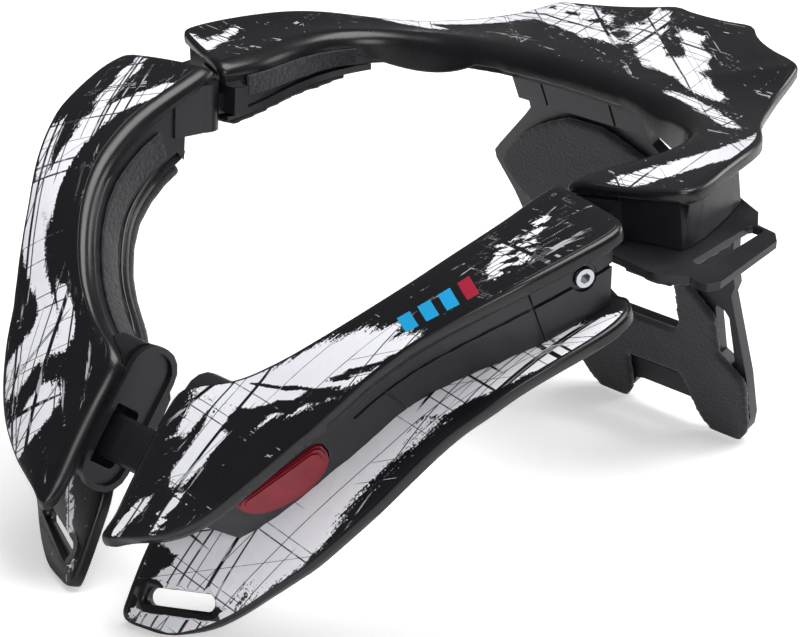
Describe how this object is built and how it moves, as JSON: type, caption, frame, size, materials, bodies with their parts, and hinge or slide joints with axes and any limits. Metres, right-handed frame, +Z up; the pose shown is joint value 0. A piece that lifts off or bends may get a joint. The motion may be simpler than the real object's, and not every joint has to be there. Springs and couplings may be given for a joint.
{
  "type": "motocross neck brace",
  "caption": "Rigid collar for off-road riders: printed rear and front arms round an open neck hole, hinged at the shoulders, with chest plates, shoulder plates and a padded back leg.",
  "frame": {"origin": "on the floor under the middle of the brace's box, as it rests on its chest plates and back leg", "axes": "+Z up, +X to the wearer's left, -Y to the wearer's front, +Y to the back"},
  "size_m": [0.276, 0.2824, 0.1518],
  "materials": {
    "printed_shell": "moulded nylon plate under a satin film printed white on black",
    "black_shell": "moulded black nylon, satin",
    "foam_lining": "charcoal knit over moulded foam",
    "loop_tape": "black loop tape",
    "chrome_screw": "chromed socket screw",
    "steel_pin": "plain steel pin",
    "red_button": "moulded red plastic, satin"
  },
  "bodies": {
    "rear_body": {"rear_cover": "printed_shell", "rear_frame": "black_shell", "left_shoulder_plate": "black_shell", "right_shoulder_plate": "black_shell", "left_shoulder_pad": "foam_lining", "right_shoulder_pad": "foam_lining", "left_rear_loop_patch": "loop_tape", "right_rear_loop_patch": "loop_tape", "back_frame": "black_shell", "upper_back_pad": "foam_lining", "lower_back_pad": "foam_lining"},
    "left_front_arm": {"left_arm_cover": "printed_shell", "left_arm": "black_shell", "left_chest_plate": "printed_shell", "left_chest_pad": "foam_lining", "left_loop_strip": "loop_tape", "left_hex_screw": "chrome_screw", "left_hinge_pin": "steel_pin", "latch_tongue": "black_shell"},
    "right_front_arm": {"right_arm_cover": "printed_shell", "right_arm": "black_shell", "right_chest_plate": "printed_shell", "right_chest_pad": "foam_lining", "right_loop_strip": "loop_tape", "right_hex_screw": "chrome_screw", "right_hinge_pin": "steel_pin", "latch_receiver": "black_shell"},
    "button": {"release_button": "red_button"}
  },
  "joints": [
    {"name": "left_arm_swing", "type": "hinge", "parent": "rear_body", "child": "left_front_arm", "pos_m": [0.0864, -0.02528, 0.122], "axis": [0, 0, 1], "range_deg": [0, 20]},
    {"name": "right_arm_swing", "type": "hinge", "parent": "rear_body", "child": "right_front_arm", "pos_m": [-0.0864, -0.02528, 0.122], "axis": [0, 0, -1], "range_deg": [0, 20]},
    {"name": "release_button_press", "type": "slide", "parent": "left_front_arm", "child": "button", "axis": [-0.8712, 0.3497, 0.3447], "range_m": [0, 0.0025], "stiffness_N_per_m": 800}
  ]
}
